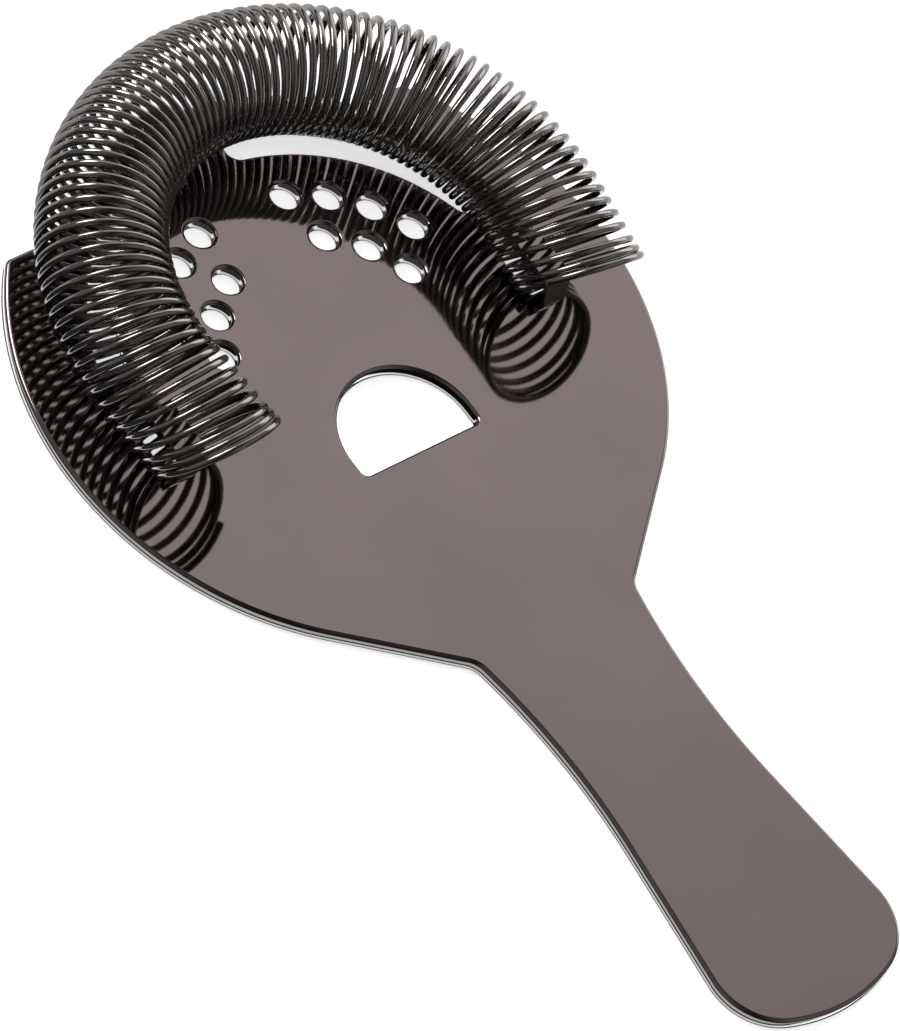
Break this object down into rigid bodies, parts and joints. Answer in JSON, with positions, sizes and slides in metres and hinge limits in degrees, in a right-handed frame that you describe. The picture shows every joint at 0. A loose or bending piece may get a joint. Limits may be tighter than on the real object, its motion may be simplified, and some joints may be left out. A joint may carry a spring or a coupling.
{
  "type": "hawthorne strainer",
  "caption": "Flat perforated bar strainer with a rounded handle and a coil spring round the front rim that gives way as it is pushed into a cup.",
  "frame": {"origin": "centre of the round head, on its underside, the face that rests on the cup's rim", "axes": "+Z out of the plate on the spring's side; +Y from the centre to the front rim, so the handle runs towards -Y; +X completes the frame"},
  "size_m": [0.09, 0.1544, 0.0201],
  "materials": {
    "dark_steel": "gunmetal plated, polished",
    "spring_wire": "gunmetal plated, polished"
  },
  "bodies": {
    "plate": {"plate": "dark_steel", "spring_tab_left": "dark_steel", "spring_tab_right": "dark_steel"},
    "spring": {"coil_spring": "spring_wire"}
  },
  "joints": [
    {"name": "spring_squeeze", "type": "slide", "parent": "plate", "child": "spring", "axis": [0, -1, 0], "range_m": [0, 0.006], "stiffness_N_per_m": 400, "deforming": ["coil_spring"]}
  ]
}
